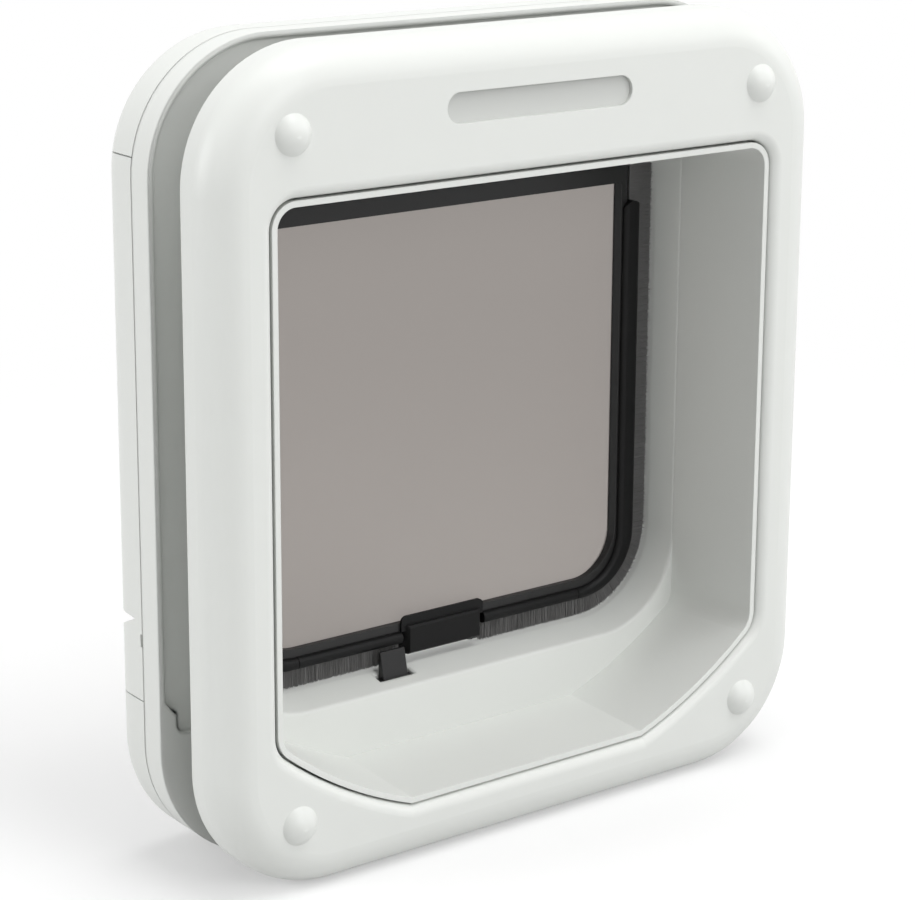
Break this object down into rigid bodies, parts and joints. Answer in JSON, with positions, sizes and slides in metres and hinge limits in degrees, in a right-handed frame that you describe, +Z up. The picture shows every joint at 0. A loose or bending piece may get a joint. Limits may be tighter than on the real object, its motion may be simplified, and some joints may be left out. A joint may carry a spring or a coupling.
{
  "type": "cat flap",
  "caption": "Door-mounted cat flap: rounded outer frame, tapered liner, inner frame with covers, and a glazed pile-sealed flap hung from two pins, with sliding catches.",
  "frame": {"origin": "middle of the underside, halfway between the dome fronts and the finger tabs' rear", "axes": "+X right seen from outside, +Y into the house, +Z up"},
  "size_m": [0.198, 0.0604, 0.22],
  "materials": {
    "white_plastic": "satin moulded",
    "black_plastic": "fine moulded texture",
    "smoked_panel": "polished smoked sheet",
    "pile": "short woven pile",
    "steel": "zinc plated",
    "magnet": "sintered"
  },
  "bodies": {
    "frame": {"outer_frame": "white_plastic", "outer_liner": "white_plastic", "inner_frame": "white_plastic", "top_cover": "white_plastic", "side_cover": "white_plastic", "lower_cover": "white_plastic", "frame_magnet": "magnet", "door_screws": "steel"},
    "flap": {"flap_panel": "smoked_panel", "flap_surround": "black_plastic", "flap_hinge_bar": "black_plastic", "pile_holder_left": "black_plastic", "pile_holder_low_left": "black_plastic", "pile_holder_low_right": "black_plastic", "pile_holder_right": "black_plastic", "pile_strip_left": "pile", "pile_strip_right": "pile", "hinge_pin_left": "steel", "hinge_pin_right": "steel", "magnet_housing": "black_plastic", "flap_magnet": "magnet"},
    "outside_catch": {"outside_catch": "black_plastic"},
    "inside_catch": {"inside_catch": "black_plastic"}
  },
  "joints": [
    {"name": "flap_swing", "type": "hinge", "parent": "frame", "child": "flap", "pos_m": [0, 0.0169, 0.175], "axis": [1, 0, 0], "range_deg": [0, 85]},
    {"name": "outside_catch_slide", "type": "slide", "parent": "frame", "child": "outside_catch", "axis": [0, 0, 1], "range_m": [-0.0062, 0]},
    {"name": "inside_catch_slide", "type": "slide", "parent": "frame", "child": "inside_catch", "axis": [0, 0, 1], "range_m": [0, 0.0062]}
  ]
}
